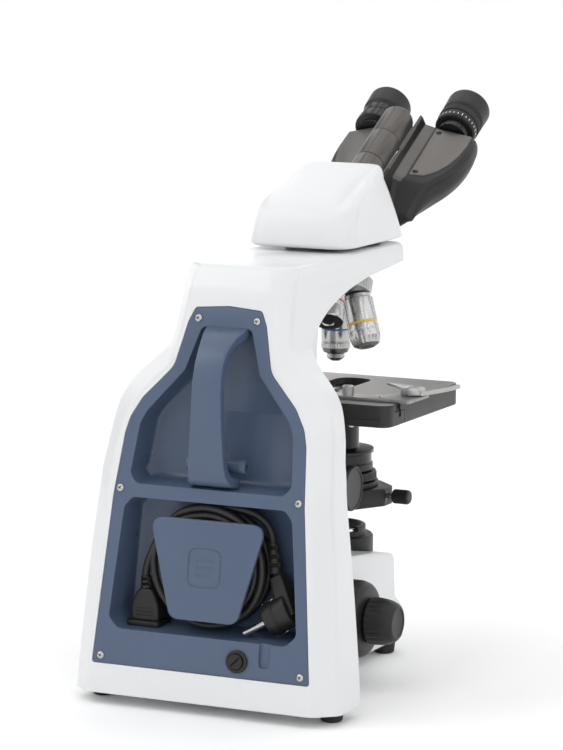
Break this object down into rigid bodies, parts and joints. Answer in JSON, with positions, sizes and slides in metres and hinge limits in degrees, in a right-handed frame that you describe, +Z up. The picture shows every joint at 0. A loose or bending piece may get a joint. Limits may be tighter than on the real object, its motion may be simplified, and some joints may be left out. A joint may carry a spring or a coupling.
{
  "type": "microscope",
  "caption": "Upright laboratory microscope with a swinging binocular head, revolving nosepiece, moving stage, condenser and a rear carrying handle over a cord store.",
  "frame": {"origin": "on the ground, at the centre of the outer box seen from above", "axes": "+Z up, -Y towards the user's eyes, -X the user's left"},
  "size_m": [0.1984, 0.3994, 0.3993],
  "materials": {
    "white_paint": "smooth light enamel",
    "blue_panel": "moulded blue plastic",
    "black_plastic": "fine-grained black plastic",
    "dark_satin": "dark satin coated aluminium",
    "stage_satin": "satin coated aluminium",
    "chrome": "bright plated metal",
    "rubber": "matt rubber",
    "glass": "clear polished glass"
  },
  "bodies": {
    "stand": {"stand_body": "white_paint", "rear_panel": "blue_panel", "panel_screw_1": "chrome", "panel_screw_2": "chrome", "panel_screw_3": "chrome", "panel_screw_4": "chrome", "panel_screw_5": "chrome", "panel_screw_6": "chrome", "carry_handle": "blue_panel", "handle_pin": "blue_panel", "cord_winder": "blue_panel", "fuse_cap": "black_plastic", "power_inlet": "black_plastic", "foot_1": "rubber", "foot_2": "rubber", "foot_3": "rubber", "foot_4": "rubber", "lamp_holder": "black_plastic", "lamp_led": "white_paint", "field_lens": "glass", "turret_mount": "dark_satin", "head_ring": "dark_satin", "inlet_connector": "black_plastic", "connector_relief": "black_plastic", "cord_lead": "rubber", "cord_coil": "rubber", "cord_tail": "rubber", "plug_relief": "black_plastic", "plug_body": "black_plastic"},
    "dial": {"brightness_dial": "black_plastic"},
    "coarse_focus": {"focus_shaft": "chrome", "coarse_knob_left": "black_plastic", "coarse_knob_right": "black_plastic"},
    "fine_focus": {"fine_knob_left": "black_plastic", "fine_knob_right": "black_plastic"},
    "carriage": {"stage_carriage": "dark_satin"},
    "stage": {"stage_plate": "stage_satin"},
    "stage_y_control": {"stage_y_knob": "black_plastic"},
    "stage_x_control": {"stage_x_knob": "black_plastic"},
    "holder": {"slide_holder": "chrome"},
    "finger": {"slide_finger": "chrome"},
    "condenser": {"condenser_carrier": "dark_satin", "condenser_body": "dark_satin", "condenser_lens": "glass"},
    "condenser_control": {"condenser_knob": "black_plastic"},
    "iris": {"iris_ring": "black_plastic"},
    "centring_left": {"centring_screw_left": "black_plastic"},
    "centring_right": {"centring_screw_right": "black_plastic"},
    "turret": {"nosepiece": "chrome", "objective_4x": "chrome", "objective_10x": "chrome", "objective_40x": "chrome", "objective_100x": "chrome"},
    "head": {"head_housing": "white_paint", "central_tube": "dark_satin"},
    "left_wing": {"wing_left": "dark_satin", "eyepiece_left": "black_plastic"},
    "right_wing": {"wing_right": "dark_satin", "eyepiece_right": "black_plastic"},
    "diopter": {"diopter_ring": "black_plastic"}
  },
  "joints": [
    {"name": "brightness_turn", "type": "hinge", "parent": "stand", "child": "dial", "pos_m": [0.044, -0.0074, 0.044], "axis": [1, 0, 0], "range_deg": [0, 270]},
    {"name": "stage_lift", "type": "slide", "parent": "stand", "child": "carriage", "axis": [0, 0, 1], "range_m": [-0.002, 0.0172]},
    {"name": "coarse_turn", "type": "hinge", "parent": "stand", "child": "coarse_focus", "pos_m": [0, 0.0678, 0.0465], "axis": [1, 0, 0], "range_deg": [-20, 165]},
    {"name": "fine_turn", "type": "hinge", "parent": "stand", "child": "fine_focus", "pos_m": [0, 0.0678, 0.0465], "axis": [1, 0, 0], "continuous": true},
    {"name": "stage_y_travel", "type": "slide", "parent": "carriage", "child": "stage", "axis": [0, 1, 0], "range_m": [-0.025, 0.025]},
    {"name": "stage_y_turn", "type": "hinge", "parent": "stage", "child": "stage_y_control", "pos_m": [0.056, 0.0046, 0.134], "axis": [0, 0, 1], "range_deg": [-180, 180]},
    {"name": "stage_x_travel", "type": "slide", "parent": "stage", "child": "holder", "axis": [1, 0, 0], "range_m": [-0.003, 0.03]},
    {"name": "stage_x_turn", "type": "hinge", "parent": "stage", "child": "stage_x_control", "pos_m": [0.056, 0.0046, 0.155], "axis": [0, 0, 1], "range_deg": [-25, 230]},
    {"name": "finger_swing", "type": "hinge", "parent": "holder", "child": "finger", "pos_m": [-0.0735, 0.0086, 0.198], "axis": [0, 0, 1], "range_deg": [-28, 0], "stiffness_Nm_per_rad": 0.05},
    {"name": "condenser_lift", "type": "slide", "parent": "carriage", "child": "condenser", "axis": [0, 0, 1], "range_m": [-0.012, 0]},
    {"name": "condenser_turn", "type": "hinge", "parent": "carriage", "child": "condenser_control", "pos_m": [0, 0.0566, 0.136], "axis": [1, 0, 0], "range_deg": [-90, 0]},
    {"name": "iris_turn", "type": "hinge", "parent": "condenser", "child": "iris", "pos_m": [0, -0.0222, 0.1305], "axis": [0, 0, 1], "range_deg": [-40, 40]},
    {"name": "centring_left_turn", "type": "hinge", "parent": "condenser", "child": "centring_left", "pos_m": [-0.04, -0.0272, 0.1165], "axis": [-1, 0, 0], "range_deg": [-180, 180]},
    {"name": "centring_right_turn", "type": "hinge", "parent": "condenser", "child": "centring_right", "pos_m": [0.04, -0.0272, 0.1165], "axis": [1, 0, 0], "range_deg": [-180, 180]},
    {"name": "turret_turn", "type": "hinge", "parent": "stand", "child": "turret", "pos_m": [0, 0.00035, 0.26531], "axis": [0, 0.342, -0.9397], "continuous": true},
    {"name": "head_turn", "type": "hinge", "parent": "stand", "child": "head", "pos_m": [0, -0.0162, 0.3], "axis": [0, 0, 1], "range_deg": [-180, 180]},
    {"name": "left_wing_swing", "type": "hinge", "parent": "head", "child": "left_wing", "pos_m": [0, -0.0786, 0.349], "axis": [0, -0.8712, 0.4909], "range_deg": [-16, 14]},
    {"name": "right_wing_swing", "type": "hinge", "parent": "head", "child": "right_wing", "pos_m": [0, -0.0786, 0.349], "axis": [0, -0.8712, 0.4909], "range_deg": [-14, 16]},
    {"name": "diopter_turn", "type": "hinge", "parent": "left_wing", "child": "diopter", "pos_m": [-0.032, -0.09038, 0.32809], "axis": [0, -0.8712, 0.4909], "range_deg": [-50, 50]}
  ],
  "couplings": [
    {"joint": "coarse_turn", "follows": "stage_lift", "rad_per_m": 165},
    {"joint": "stage_y_turn", "follows": "stage_y_travel", "rad_per_m": 125},
    {"joint": "stage_x_turn", "follows": "stage_x_travel", "rad_per_m": 125},
    {"joint": "condenser_turn", "follows": "condenser_lift", "rad_per_m": 125},
    {"joint": "right_wing_swing", "follows": "left_wing_swing", "ratio": -1}
  ]
}
